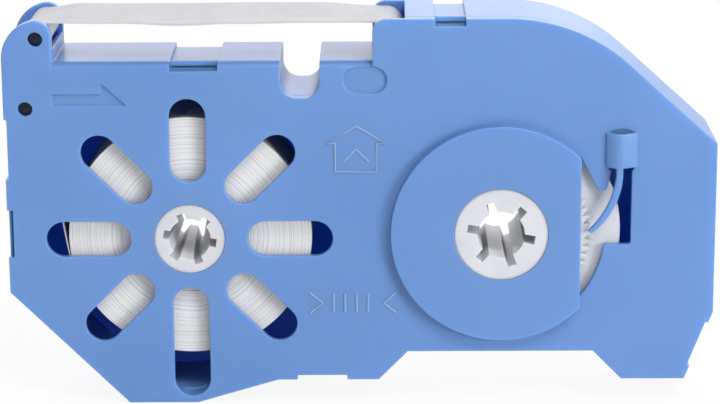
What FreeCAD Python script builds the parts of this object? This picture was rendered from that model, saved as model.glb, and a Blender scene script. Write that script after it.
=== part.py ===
import FreeCAD, Part
import Sketcher
import math
import os

# Label tape cassette standing upright: X to the right, Y to the rear, Z up, in millimetres.
# The origin is the bottom centre of the cassette's box.
# A depth is measured to the rear from the outer face of the front plate.
SIZES = {
    # Case plates and the depths inside them
    "front_plate": 1.0,
    "back_plate": 1.1,
    "wall": 1.5,
    "cover_depth": 2.0,
    "tape_width": 12.0,
    "tape_thick": 0.15,
    "tape_inset": 0.8,
    # Axes of the two reels, from the sides of the case and from each other
    "roll_margin": 8.25,
    "reel_spacing": 42.95,
    "take_from_right": 29.55,
    "take_rise": 0.85,
    # Left side, upwards from a shoulder below the supply axis
    "shoulder_drop": 7.6,
    "latch_in": 0.8,
    "latch_rise": 5.0,
    "latch_long": 6.75,
    "neck_in": 0.4,
    "neck_rise": 4.4,
    "neck_long": 8.35,
    # Ear that carries the two left guide pins
    "ear_rise": 6.0,
    "ear_margin": 2.17,
    "ear_thick": 1.6,
    "ear_wall": 0.65,
    "ear_wall_drop": 1.63,
    "ear_flat": 1.6,
    "ear_right_round": 2.2,
    # Upper edge with the finger notch, the step and the hump
    "ledge_room": 7.85,
    "ledge_slope": 0.75,
    "notch_offset": 12.75,
    "notch_wide": 5.4,
    "notch_deep": 4.9,
    "notch_flat": 0.8,
    "land_wide": 7.2,
    "step_round": 1.9,
    "hump_rise": 6.0,
    "hump_from_right": 19.24,
    "hump_round": 24.6,
    "brow_rise": 12.35,
    # Lower edge
    "foot_rise": 3.3,
    "heel_high": 9.7,
    "heel_in": 3.8,
    "arch_room": 0.75,
    "arch_reach": 12.95,
    "arch_slope": 4.0,
    "mid_foot_slope": 4.05,
    "mid_foot_end": 4.4,
    "slot_wide": 6.95,
    "slot_in": 0.65,
    "slot_start": 2.7,
    "left_foot_slope": 11.3,
    "left_foot_wide": 9.6,
    "left_foot_offset": 8.9,
    # Snap windows in the upper edge and in the slanted heel
    "snap_high": 1.05,
    "snap_bar": 0.5,
    "snap_sink": 0.7,
    "snap_left_offset": 2.3,
    "snap_left_wide": 6.55,
    "snap_right_offset": 8.5,
    "snap_right_wide": 4.2,
    "heel_snap_rise": 1.9,
    "heel_snap_drop": 1.6,
    "heel_snap_in": 0.4,
    # Supply reel
    "supply_hole": 4.88,
    "supply_bore": 2.95,
    "supply_bore_rear": 2.15,
    "supply_notch": 3.7,
    "supply_core_radius": 8.0,
    "roll_radius": 16.85,
    # Eight viewing slots round the supply reel, and the margin below the lowest
    "view_near": 10.57,
    "view_far": 17.29,
    "view_low_near": 9.44,
    "view_low_far": 20.3,
    "view_half": 2.5,
    "view_margin": 1.0,
    # Take-up reel
    "take_hole": 6.45,
    "take_bore": 3.25,
    "take_notch": 4.7,
    "take_core_radius": 7.6,
    "wraps_deep": 0.8,
    "flange_radius": 16.5,
    "flange_thick": 0.5,
    "ratchet_tip": 12.5,
    "tooth_deep": 1.1,
    "ring_wall": 1.6,
    # Spline notches of both reels
    "spline_half": 0.6,
    "spline_turn": 10.5,
    # Raised round boss over the take-up reel
    "boss_height": 1.5,
    "boss_skin": 1.0,
    "boss_room": 1.7,
    "boss_flat": 10.9,
    # Window beside the boss, with a tongue in its upper left corner
    "window_rise": 8.85,
    "window_reach": 17.9,
    "window_drop": 1.85,
    "window_arc_in": 0.85,
    "window_round": 0.45,
    "tongue_reach": 13.9,
    "tongue_rise": 5.8,
    "tongue_top_reach": 15.15,
    "tongue_round": 0.7,
    # Bowed bridge over the window's upper end, and the pawl that hangs from it
    "bridge_reach": 14.3,
    "bridge_rise": 9.22,
    "bridge_wide": 4.25,
    "bridge_high": 4.83,
    "bridge_side": 0.35,
    "bridge_thick": 0.6,
    "bridge_foot": 0.5,
    "bridge_crown": 0.45,
    "pawl_in": 1.4,
    "pawl_thick": 0.85,
    "pawl_tip_reach": 11.95,
    "pawl_tip_rise": 0.45,
    "pawl_tip_cut": 0.4,
    "pawl_bend_reach": 14.8,
    "pawl_bend_rise": 4.55,
    "pawl_bend_drop": 0.3,
    # Sunk obround pad
    "pad_back": 1.03,
    "pad_drop": 2.4,
    "pad_half_long": 1.15,
    "pad_half": 1.85,
    "pad_sink": 0.4,
    # Guide pins and sleeves
    "high_pin_in": 4.73,
    "high_pin_drop": 2.57,
    "low_pin_back": 1.69,
    "low_pin_rise": 1.56,
    "entry_in": 2.05,
    "entry_drop": 2.6,
    "entry_room": 2.4,
    "entry_lip": 0.4,
    "pin_hole": 1.0,
    "pin_boss": 1.9,
    "pin_recess": 0.9,
    "sleeve_radius": 1.75,
    # Clearances
    "plate_gap": 0.2,
    "journal_gap": 0.1,
    "journal_recess": 0.1,
    "ring_gap": 0.3,
    "pawl_gap": 0.2,
    "pin_gap": 0.03,
    "sleeve_gap": 0.05,
    "film_gap": 0.06,
    "roll_gap": 0.15,
    "core_gap": 0.03,
}

# Depths that follow from the sizes above
SIZES["front_face"] = 0.0
SIZES["tape_front"] = SIZES["front_plate"] + SIZES["tape_inset"]
SIZES["tape_back"] = SIZES["tape_front"] + SIZES["tape_width"]
SIZES["back_face"] = SIZES["tape_back"] + SIZES["plate_gap"]
SIZES["case_depth"] = SIZES["back_face"] + SIZES["back_plate"]
SIZES["front_y"] = (SIZES["boss_height"] - SIZES["case_depth"]) / 2

# Reel axes and radii that follow
SIZES["supply_from_left"] = SIZES["roll_radius"] + SIZES["roll_margin"]
SIZES["right_x"] = (SIZES["supply_from_left"] + SIZES["reel_spacing"] + SIZES["take_from_right"]) / 2
SIZES["left_x"] = -SIZES["right_x"]
SIZES["supply_x"] = SIZES["left_x"] + SIZES["supply_from_left"]
SIZES["supply_z"] = SIZES["view_low_far"] + SIZES["view_half"] + SIZES["view_margin"]
SIZES["take_x"] = SIZES["supply_x"] + SIZES["reel_spacing"]
SIZES["take_z"] = SIZES["supply_z"] + SIZES["take_rise"]
SIZES["wrap_radius"] = SIZES["take_core_radius"] + SIZES["wraps_deep"]
SIZES["ratchet_root"] = SIZES["ratchet_tip"] - SIZES["tooth_deep"]
SIZES["ratchet_inner"] = SIZES["ratchet_root"] - SIZES["ring_wall"]
SIZES["boss_radius"] = SIZES["ratchet_tip"] + SIZES["boss_room"] + SIZES["boss_skin"]
SIZES["boss_flat_x"] = SIZES["take_x"] + SIZES["boss_flat"]

# Places on the outline that follow, left side and ear
SIZES["shoulder_z"] = SIZES["supply_z"] - SIZES["shoulder_drop"]
SIZES["latch_low_z"] = SIZES["shoulder_z"] + SIZES["latch_rise"]
SIZES["latch_high_z"] = SIZES["latch_low_z"] + SIZES["latch_long"]
SIZES["neck_low_z"] = SIZES["latch_high_z"] + SIZES["neck_rise"]
SIZES["neck_high_z"] = SIZES["neck_low_z"] + SIZES["neck_long"]
SIZES["ledge_z"] = SIZES["supply_z"] + SIZES["roll_radius"] + SIZES["ledge_room"]
SIZES["ear_top_z"] = SIZES["ledge_z"] + SIZES["ear_rise"]
SIZES["high_pin_x"] = SIZES["left_x"] + SIZES["high_pin_in"]
SIZES["high_pin_z"] = SIZES["ear_top_z"] - SIZES["high_pin_drop"]
SIZES["low_pin_x"] = SIZES["high_pin_x"] - SIZES["low_pin_back"]
SIZES["low_pin_z"] = SIZES["neck_high_z"] + SIZES["low_pin_rise"]
SIZES["ear_right_x"] = SIZES["high_pin_x"] + SIZES["ear_margin"]
SIZES["ear_wall_top_z"] = SIZES["high_pin_z"] - SIZES["ear_wall_drop"]
SIZES["ear_left_round"] = SIZES["ear_right_x"] - SIZES["left_x"] - SIZES["ear_flat"]

# Places on the upper edge that follow
SIZES["notch_left_x"] = SIZES["supply_x"] + SIZES["notch_offset"]
SIZES["notch_right_x"] = SIZES["notch_left_x"] + SIZES["notch_wide"]
SIZES["notch_floor_z"] = SIZES["ledge_z"] - SIZES["notch_deep"]
SIZES["notch_round"] = (SIZES["notch_wide"] - SIZES["notch_flat"]) / 2
SIZES["step_x"] = SIZES["notch_right_x"] + SIZES["land_wide"]
SIZES["hump_z"] = SIZES["ledge_z"] + SIZES["hump_rise"]
SIZES["hump_x"] = SIZES["right_x"] - SIZES["hump_from_right"]
SIZES["brow_z"] = SIZES["take_z"] + SIZES["brow_rise"]
SIZES["pad_x"] = SIZES["step_x"] - SIZES["pad_back"]
SIZES["pad_z"] = SIZES["ledge_z"] - SIZES["pad_drop"]
SIZES["entry_pin_x"] = SIZES["step_x"] + SIZES["entry_in"]
SIZES["entry_pin_z"] = SIZES["hump_z"] - SIZES["entry_drop"]
SIZES["entry_right_x"] = SIZES["entry_pin_x"] + SIZES["entry_room"]
SIZES["snap_left_x"] = SIZES["supply_x"] - SIZES["snap_left_offset"]
SIZES["snap_right_x"] = SIZES["step_x"] + SIZES["snap_right_offset"]

# Places on the lower edge that follow
SIZES["left_foot_z"] = 0.0
SIZES["mid_foot_z"] = SIZES["foot_rise"]
SIZES["right_foot_z"] = SIZES["foot_rise"]
SIZES["heel_z"] = SIZES["right_foot_z"] + SIZES["heel_high"]
SIZES["right_foot_x"] = SIZES["right_x"] - SIZES["heel_in"]
SIZES["arch_x"] = SIZES["take_x"] + SIZES["arch_reach"]
SIZES["arch_z"] = SIZES["take_z"] - SIZES["flange_radius"] - SIZES["arch_room"]
SIZES["right_foot_in_x"] = SIZES["arch_x"] + SIZES["arch_slope"]
SIZES["left_foot_x"] = SIZES["supply_x"] - SIZES["left_foot_offset"]
SIZES["left_foot_in_x"] = SIZES["left_foot_x"] + SIZES["left_foot_wide"]
SIZES["mid_foot_in_x"] = SIZES["left_foot_in_x"] + SIZES["left_foot_slope"]
SIZES["slot_left_x"] = SIZES["mid_foot_in_x"] + SIZES["slot_start"]
SIZES["slot_right_x"] = SIZES["slot_left_x"] + SIZES["slot_wide"]
SIZES["mid_foot_x"] = SIZES["slot_right_x"] + SIZES["mid_foot_end"]
SIZES["arch_in_x"] = SIZES["mid_foot_x"] + SIZES["mid_foot_slope"]
SIZES["heel_snap_low_z"] = SIZES["right_foot_z"] + SIZES["heel_snap_rise"]
SIZES["heel_snap_high_z"] = SIZES["heel_z"] - SIZES["heel_snap_drop"]

# Places of the window, the bridge and the pawl that follow
SIZES["window_top_z"] = SIZES["take_z"] + SIZES["window_rise"]
SIZES["window_right_x"] = SIZES["take_x"] + SIZES["window_reach"]
SIZES["window_low_z"] = SIZES["take_z"] - SIZES["window_drop"]
SIZES["window_arc"] = SIZES["boss_radius"] - SIZES["window_arc_in"]
SIZES["tongue_x"] = SIZES["take_x"] + SIZES["tongue_reach"]
SIZES["tongue_z"] = SIZES["take_z"] + SIZES["tongue_rise"]
SIZES["tongue_right_x"] = SIZES["take_x"] + SIZES["tongue_top_reach"]
SIZES["bridge_x"] = SIZES["take_x"] + SIZES["bridge_reach"]
SIZES["bridge_z"] = SIZES["take_z"] + SIZES["bridge_rise"]
SIZES["pawl_x"] = SIZES["bridge_x"] + SIZES["pawl_in"]
SIZES["pawl_deep"] = SIZES["boss_skin"] + SIZES["ring_gap"] - SIZES["pawl_gap"]

# Corners of the case seen from the front, clockwise from the left shoulder.
# Each is a pair of sums of sizes.
LATCH_RECESS = [
    ("left_x", "latch_low_z"),
    ("left_x + latch_in", "latch_low_z"),
    ("left_x + latch_in", "latch_high_z"),
    ("left_x", "latch_high_z"),
]
NECK = [
    ("left_x", "neck_low_z"),
    ("left_x + neck_in", "neck_low_z"),
    ("left_x + neck_in", "neck_high_z"),
    ("left_x", "neck_high_z"),
]
EAR = [
    ("left_x", "ear_top_z"),
    ("ear_right_x", "ear_top_z"),
    ("ear_right_x", "ledge_z"),
]
FINGER_NOTCH = [
    ("notch_left_x", "ledge_z"),
    ("notch_left_x", "notch_floor_z"),
    ("notch_right_x", "notch_floor_z"),
    ("notch_right_x", "ledge_z"),
]
HUMP = [
    ("step_x", "ledge_z"),
    ("step_x", "hump_z"),
    ("hump_x", "hump_z"),
    ("right_x", "brow_z"),
    ("right_x", "heel_z"),
    ("right_foot_x", "right_foot_z"),
]
FEET = [
    ("right_foot_in_x", "right_foot_z"),
    ("arch_x", "arch_z"),
    ("arch_in_x", "arch_z"),
    ("mid_foot_x", "mid_foot_z"),
]
LOWER_SLOT = [
    ("slot_right_x", "mid_foot_z"),
    ("slot_right_x", "mid_foot_z + slot_in"),
    ("slot_left_x", "mid_foot_z + slot_in"),
    ("slot_left_x", "mid_foot_z"),
]
LEFT_FOOT = [
    ("mid_foot_in_x", "mid_foot_z"),
    ("left_foot_in_x", "left_foot_z"),
    ("left_foot_x", "left_foot_z"),
]
SHOULDER = [("left_x", "shoulder_z")]
CASE_CORNERS = SHOULDER + LATCH_RECESS + NECK + EAR + FINGER_NOTCH + HUMP + FEET + LOWER_SLOT + LEFT_FOOT
CAVITY_CORNERS = SHOULDER + [("left_x", "ledge_z")] + FINGER_NOTCH + HUMP + FEET + LEFT_FOOT

# Rounded corners of the case: place and radius
CASE_ROUNDS = [
    ("left_x", "ear_top_z", "ear_left_round"),
    ("ear_right_x", "ear_top_z", "ear_right_round"),
    ("notch_left_x", "notch_floor_z", "notch_round"),
    ("notch_right_x", "notch_floor_z", "notch_round"),
    ("step_x", "hump_z", "step_round"),
    ("hump_x", "hump_z", "hump_round"),
]
VIEW_SLOTS = 8
SPLINES = 6
TEETH = 68
TOOTH_LEAN = 0.15
TINY = 0.001

doc = FreeCAD.newDocument("cassette")
sheet = doc.addObject("Spreadsheet::Sheet", "Sizes")
for row, (alias, number) in enumerate(SIZES.items(), 1):
    sheet.set("A%d" % row, alias)
    sheet.set("B%d" % row, str(number))
    sheet.setAlias("B%d" % row, alias)
doc.recompute()


def value(total):
    """The number that a sum of sizes gives, such as 'left_x + neck_in'."""
    number = 0.0
    sign = 1
    for word in total.split():
        if word == "+":
            sign = 1
        elif word == "-":
            sign = -1
        else:
            number += sign * SIZES[word]
    return number


def expression(total):
    """The same sum as an expression on the sheet's cells."""
    return " ".join(word if word in "+-" else "Sizes." + word for word in total.split())


def bind(item, name, total):
    item.setExpression(name, expression(total))


def new_body(label, x_place=None, z_place=None):
    body = doc.addObject("PartDesign::Body", label)
    body.Label = label
    bind(body, "Placement.Base.y", "front_y")
    if x_place:
        bind(body, "Placement.Base.x", x_place)
        bind(body, "Placement.Base.z", z_place)
    return body


def front_sketch(body, name, depth, x_place=None, z_place=None):
    """A sketch that faces the front, at a depth, with its origin at a chosen place."""
    sketch = body.newObject("Sketcher::SketchObject", name)
    plane = [item for item in body.Origin.OriginFeatures if item.Role == "XZ_Plane"][0]
    sketch.AttachmentSupport = [(plane, "")]
    sketch.MapMode = "FlatFace"
    sketch.setExpression("AttachmentOffset.Base.z", "-(" + expression(depth) + ")")
    if x_place:
        bind(sketch, "AttachmentOffset.Base.x", x_place)
        bind(sketch, "AttachmentOffset.Base.y", z_place)
    return sketch


def add_corners(sketch, corners):
    """Draw a closed outline whose corners are bound to the sheet."""
    places = [FreeCAD.Vector(value(x), value(z), 0) for x, z in corners]
    count = len(corners)
    lines = [Part.LineSegment(places[i], places[(i + 1) % count]) for i in range(count)]
    first = sketch.addGeometry(lines, False)[0]
    for i in range(count):
        line = first + i
        sketch.addConstraint(Sketcher.Constraint("Coincident", line, 2, first + (i + 1) % count, 1))
        for kind, total, number in (
            ("DistanceX", corners[i][0], places[i].x),
            ("DistanceY", corners[i][1], places[i].y),
        ):
            index = sketch.addConstraint(Sketcher.Constraint(kind, -1, 1, line, 1, number))
            bind(sketch, "Constraints[%d]" % index, total)


def add_path(sketch, edges):
    sketch.addGeometry(edges, False)


def add_circle(sketch, radius):
    """Draw a circle about the sketch's origin."""
    circle = Part.Circle(FreeCAD.Vector(), FreeCAD.Vector(0, 0, 1), value(radius))
    number = sketch.addGeometry(circle, False)
    sketch.addConstraint(Sketcher.Constraint("Coincident", number, 3, -1, 1))
    index = sketch.addConstraint(Sketcher.Constraint("Radius", number, value(radius)))
    bind(sketch, "Constraints[%d]" % index, radius)


def grow(body, sketch, length):
    """Pad a sketch to the rear."""
    pad = body.newObject("PartDesign::Pad", sketch.Name + "_pad")
    pad.Profile = sketch
    pad.Reversed = True
    bind(pad, "Length", length)
    doc.recompute()
    return pad


def sink(body, sketch, length):
    """Cut a sketch to the rear."""
    pocket = body.newObject("PartDesign::Pocket", sketch.Name + "_cut")
    pocket.Profile = sketch
    bind(pocket, "Length", length)
    doc.recompute()
    return pocket


def repeat(body, feature, sketch, copies):
    """Repeat a feature round the origin of its sketch."""
    pattern = body.newObject("PartDesign::PolarPattern", feature.Name + "_round")
    pattern.Originals = [feature]
    pattern.Axis = (sketch, ["N_Axis"])
    pattern.Angle = 360
    pattern.Occurrences = copies
    body.Tip = pattern
    doc.recompute()


def edges_at(shape, x, z):
    """Names of the edges that run to the rear from a place on the front."""
    names = []
    for number, edge in enumerate(shape.Edges, 1):
        ends = [edge.Vertexes[0].Point, edge.Vertexes[-1].Point]
        if all(abs(end.x - x) < TINY and abs(end.z - z) < TINY for end in ends):
            names.append("Edge%d" % number)
    return names


def round_edges(body, name, places, radius):
    """Round edges that run to the rear from the given places."""
    shape = body.Tip.Shape
    names = [edge for x, z in places for edge in edges_at(shape, x, z)]
    fillet = body.newObject("PartDesign::Fillet", name)
    fillet.Base = (fillet.BaseFeature, names)
    bind(fillet, "Radius", radius)
    doc.recompute()


def cut_box(body, name, x_pair, z_pair, depth, length):
    """Cut a box that runs to the rear from a depth."""
    sketch = front_sketch(body, name, depth)
    low_x, high_x = x_pair
    low_z, high_z = z_pair
    add_corners(sketch, [(low_x, low_z), (high_x, low_z), (high_x, high_z), (low_x, high_z)])
    sink(body, sketch, length)


def cut_hole(body, name, place, radius, depth, length):
    sketch = front_sketch(body, name, depth, place[0], place[1])
    add_circle(sketch, radius)
    sink(body, sketch, length)


def inset(corners, distance):
    """Corners of a clockwise outline, moved inwards by a distance."""
    count = len(corners)
    moved = []
    for i in range(count):
        before, here, after = corners[i - 1], corners[i], corners[(i + 1) % count]
        first = (here - before).normalize()
        second = (after - here).normalize()
        first_in = FreeCAD.Vector(first.y, -first.x, 0)
        second_in = FreeCAD.Vector(second.y, -second.x, 0)
        moved.append(here + (first_in + second_in) * (distance / (1 + first_in * second_in)))
    return moved


def closed_lines(places):
    return [Part.LineSegment(places[i - 1], places[i]) for i in range(len(places))]


def round_corner(places, number, radius):
    """Closed lines through the places, with one corner turned into a tangent arc."""
    before, corner, after = places[number - 1], places[number], places[number + 1]
    back = (before - corner).normalize()
    ahead = (after - corner).normalize()
    half_angle = back.getAngle(ahead) / 2
    start = corner + back * (radius / math.tan(half_angle))
    end = corner + ahead * (radius / math.tan(half_angle))
    inward = (back + ahead).normalize()
    middle = corner + inward * (radius / math.sin(half_angle) - radius)
    rest = [end] + places[number + 1:] + places[:number] + [start]
    lines = [Part.LineSegment(rest[i], rest[i + 1]) for i in range(len(rest) - 1)]
    return lines + [Part.Arc(start, middle, end)]


def case_block(body, depth, length):
    """The case's outline as a solid block, with its rounded corners."""
    sketch = front_sketch(body, body.Name + "_outline", depth)
    add_corners(sketch, CASE_CORNERS)
    grow(body, sketch, length)
    for number, (x, z, radius) in enumerate(CASE_ROUNDS, 1):
        round_edges(body, "%s_round%d" % (body.Name, number), [(value(x), value(z))], radius)


def hollow_case(body, depth, length):
    """Cut the inside of the case, one wall in from its outline."""
    places = [FreeCAD.Vector(value(x), value(z), 0) for x, z in CAVITY_CORNERS]
    sketch = front_sketch(body, body.Name + "_cavity", depth)
    hump = CAVITY_CORNERS.index(("hump_x", "hump_z"))
    add_path(sketch, round_corner(inset(places, value("wall")), hump, value("hump_round - wall")))
    sink(body, sketch, length)


def open_ends(body, ear_depth, entry_depth, end_depth):
    """Open the walls where the tape leaves at the ear and where it enters at the step."""
    ear_inside = "ear_right_x - ear_wall"
    cut_box(
        body, body.Name + "_ear_gap",
        ("left_x - wall", ear_inside), ("neck_high_z", "ear_top_z + wall"),
        ear_depth, end_depth + " - " + ear_depth,
    )
    cut_box(
        body, body.Name + "_ear_wall_top",
        (ear_inside + " - wall", "ear_right_x + wall"), ("ear_wall_top_z", "ear_top_z + wall"),
        ear_depth, end_depth + " - " + ear_depth,
    )
    cut_box(
        body, body.Name + "_entry_gap",
        ("step_x - wall", "entry_right_x"), ("ledge_z + entry_lip", "hump_z + wall"),
        entry_depth, end_depth + " - " + entry_depth,
    )


def slope_ledge(body):
    """A slope along the front edge of the ledge, between the ear and the step."""
    shape = body.Tip.Shape
    names = []
    for number, edge in enumerate(shape.Edges, 1):
        ends = [edge.Vertexes[0].Point, edge.Vertexes[-1].Point]
        on_ledge = all(abs(end.z - value("ledge_z")) < TINY and abs(end.y) < TINY for end in ends)
        if on_ledge and edge.Length > value("notch_round"):
            names.append("Edge%d" % number)
    slope = body.newObject("PartDesign::Chamfer", "ledge_slope_cut")
    slope.Base = (slope.BaseFeature, names)
    bind(slope, "Size", "ledge_slope")
    doc.recompute()


def snap_recess(body, name, span, edge, sunk, depth, length):
    """A shallow cut in the upper edge for a snap hook."""
    left, wide = span
    cut_box(body, name, (left, left + " + " + wide), (edge + " - " + sunk, edge + " + wall"), depth, length)


def heel_recess(body, depth, length):
    """A shallow cut along the slanted heel."""
    low = FreeCAD.Vector(value("right_foot_x"), value("right_foot_z"), 0)
    high = FreeCAD.Vector(value("right_x"), value("heel_z"), 0)
    along = (high - low).normalize()
    inward = FreeCAD.Vector(-along.y, along.x, 0)
    ends = []
    for level in ("heel_snap_low_z", "heel_snap_high_z"):
        ends.append(low + along * ((value(level) - low.y) / along.y))
    deep = inward * value("heel_snap_in")
    out = inward * value("wall")
    sketch = front_sketch(body, body.Name + "_heel_snap", depth)
    add_path(sketch, closed_lines([ends[0] + deep, ends[1] + deep, ends[1] - out, ends[0] - out]))
    sink(body, sketch, length)


def obround(near, far, half):
    """Edges of a slot with round ends, along the sketch's upright axis."""
    left_low = FreeCAD.Vector(-half, near, 0)
    right_low = FreeCAD.Vector(half, near, 0)
    left_high = FreeCAD.Vector(-half, far, 0)
    right_high = FreeCAD.Vector(half, far, 0)
    return [
        Part.Arc(left_low, FreeCAD.Vector(0, near - half, 0), right_low),
        Part.LineSegment(right_low, right_high),
        Part.Arc(right_high, FreeCAD.Vector(0, far + half, 0), left_high),
        Part.LineSegment(left_high, left_low),
    ]


def cut_view_slots(body):
    """Eight radial slots that show how much tape is left; the lowest one is longer."""
    sketch = front_sketch(body, "view_slot", "front_face", "supply_x", "supply_z")
    add_path(sketch, obround(value("view_near"), value("view_far"), value("view_half")))
    repeat(body, sink(body, sketch, "cover_depth"), sketch, VIEW_SLOTS)
    low = front_sketch(body, "low_view_slot", "front_face", "supply_x", "supply_z")
    add_path(low, obround(-value("view_low_far"), -value("view_low_near"), value("view_half")))
    sink(body, low, "cover_depth")


def add_boss(body):
    """The raised round boss over the take-up reel, flat on its right side and open behind."""
    radius = value("boss_radius")
    reach = value("boss_flat_x - take_x")
    rise = math.sqrt(radius ** 2 - reach ** 2)
    low = FreeCAD.Vector(reach, -rise, 0)
    high = FreeCAD.Vector(reach, rise, 0)
    sketch = front_sketch(body, "boss", "front_face - boss_height", "take_x", "take_z")
    add_path(sketch, [Part.Arc(high, FreeCAD.Vector(-radius, 0, 0), low), Part.LineSegment(low, high)])
    grow(body, sketch, "boss_height")
    start = "boss_skin - boss_height"
    length = "cover_depth - boss_skin + boss_height"
    cut_hole(body, "boss_hollow", TAKE_AXIS, "boss_radius - boss_skin", start, length)
    cut_hole(body, "flange_room", TAKE_AXIS, "flange_radius + plate_gap", "front_plate", "cover_depth")


def cut_window(body):
    """The window beside the boss, with a rounded tongue in its upper left corner."""
    flat = value("boss_flat_x")
    axis = FreeCAD.Vector(value("take_x"), value("take_z"), 0)
    arc = value("window_arc")
    top = value("window_top_z")
    low = value("window_low_z")
    right = value("window_right_x")
    tip = FreeCAD.Vector(value("tongue_x"), value("tongue_z"), 0)
    tip_round = value("tongue_round")
    flat_low = FreeCAD.Vector(flat, axis.y - math.sqrt(arc ** 2 - (flat - axis.x) ** 2), 0)
    floor = FreeCAD.Vector(axis.x + math.sqrt(arc ** 2 - (low - axis.y) ** 2), low, 0)
    first_angle = math.atan2(flat_low.y - axis.y, flat_low.x - axis.x)
    last_angle = math.atan2(low - axis.y, floor.x - axis.x)
    middle_angle = (first_angle + last_angle) / 2
    middle = axis + FreeCAD.Vector(math.cos(middle_angle), math.sin(middle_angle), 0) * arc
    flat_high = FreeCAD.Vector(flat, axis.y + math.sqrt(value("boss_radius") ** 2 - (flat - axis.x) ** 2), 0)
    tongue_left = tip + FreeCAD.Vector(-tip_round, tip_round / 2, 0)
    tongue_right = tip + FreeCAD.Vector(tip_round, tip_round, 0)
    corners = [tongue_right, FreeCAD.Vector(value("tongue_right_x"), top, 0), FreeCAD.Vector(right, top, 0)]
    corners += [FreeCAD.Vector(right, low, 0), floor]
    edges = [Part.LineSegment(corners[i], corners[i + 1]) for i in range(len(corners) - 1)]
    edges.append(Part.Arc(floor, middle, flat_low))
    edges.append(Part.LineSegment(flat_low, flat_high))
    edges.append(Part.LineSegment(flat_high, tongue_left))
    edges.append(Part.Arc(tongue_left, tip, tongue_right))
    sketch = front_sketch(body, "window", "front_face")
    add_path(sketch, edges)
    sink(body, sketch, "cover_depth")
    round_edges(body, "window_corners", [(right, low), (floor.x, floor.y)], "window_round")


def add_bridge(body):
    """The bowed strip that bridges the window's upper end, with the window open behind it."""
    hole = front_sketch(body, "bridge_hole", "front_face")
    left = value("bridge_x + bridge_foot")
    right = value("bridge_x + bridge_wide - bridge_foot")
    low = value("bridge_z - bridge_foot")
    top = value("bridge_z + bridge_high")
    corners = [(left, top), (left, low), (right, low), (right, top)]
    places = [FreeCAD.Vector(x, z, 0) for x, z in corners]
    crown = FreeCAD.Vector((left + right) / 2, top + value("bridge_crown"), 0)
    sides = [Part.LineSegment(places[i], places[i + 1]) for i in range(len(places) - 1)]
    add_path(hole, sides + [Part.Arc(places[-1], crown, places[0])])
    sink(body, hole, "front_plate")
    sketch = body.newObject("Sketcher::SketchObject", "bridge")
    plane = [item for item in body.Origin.OriginFeatures if item.Role == "XY_Plane"][0]
    sketch.AttachmentSupport = [(plane, "")]
    sketch.MapMode = "FlatFace"
    bind(sketch, "AttachmentOffset.Base.z", "bridge_z")
    far = "bridge_x + bridge_wide"
    side = "front_face - bridge_side"
    peak = "front_face - boss_height"
    add_corners(sketch, [
        ("bridge_x", "bridge_foot"), ("bridge_x", side), ("pawl_x", peak),
        ("pawl_x + pawl_thick", peak), (far, side), (far, "bridge_foot"),
        (far + " - bridge_foot", "bridge_foot"), (far + " - bridge_foot", side + " + bridge_thick"),
        ("pawl_x + pawl_thick", peak + " + bridge_thick"), ("pawl_x", peak + " + bridge_thick"),
        ("bridge_x + bridge_foot", side + " + bridge_thick"), ("bridge_x + bridge_foot", "bridge_foot"),
    ])
    pad = body.newObject("PartDesign::Pad", "bridge_pad")
    pad.Profile = sketch
    bind(pad, "Length", "bridge_high")
    doc.recompute()


def add_pawl(body):
    """The springy pawl: a thin curved leaf from the bridge down to the ratchet teeth."""
    axis = FreeCAD.Vector(value("take_x"), value("take_z"), 0)
    thick = value("pawl_thick")
    cut = value("pawl_tip_cut")
    root_z = value("bridge_z + bridge_foot")
    inner_tip = axis + FreeCAD.Vector(value("pawl_tip_reach"), value("pawl_tip_rise"), 0)
    outer_tip = inner_tip + FreeCAD.Vector(cut, -cut, 0)
    inner_root = FreeCAD.Vector(value("pawl_x"), root_z, 0)
    outer_root = FreeCAD.Vector(value("pawl_x") + thick, root_z, 0)
    inner_bend = axis + FreeCAD.Vector(value("pawl_bend_reach"), value("pawl_bend_rise"), 0)
    outer_bend = inner_bend + FreeCAD.Vector(thick, -value("pawl_bend_drop"), 0)
    sketch = front_sketch(body, "pawl", "front_face - boss_height")
    add_path(sketch, [
        Part.Arc(inner_root, inner_bend, inner_tip), Part.LineSegment(inner_tip, outer_tip),
        Part.Arc(outer_tip, outer_bend, outer_root), Part.LineSegment(outer_root, inner_root),
    ])
    grow(body, sketch, "pawl_deep")


def cut_pad(body):
    """The sunk obround pad beside the finger notch."""
    sketch = front_sketch(body, "sunk_pad", "front_face", "pad_x", "pad_z")
    edges = obround(-value("pad_half_long"), value("pad_half_long"), value("pad_half"))
    quarter = FreeCAD.Matrix()
    quarter.rotateZ(math.pi / 2)
    for edge in edges:
        edge.transform(quarter)
    add_path(sketch, edges)
    sink(body, sketch, "pad_sink")


SUPPLY_AXIS = ("supply_x", "supply_z")
TAKE_AXIS = ("take_x", "take_z")
HIGH_PIN = ("high_pin_x", "high_pin_z")
LOW_PIN = ("low_pin_x", "low_pin_z")
ENTRY_PIN = ("entry_pin_x", "entry_pin_z")
LEFT_SNAP = ("snap_left_x", "snap_left_wide")
RIGHT_SNAP = ("snap_right_x", "snap_right_wide")


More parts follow.
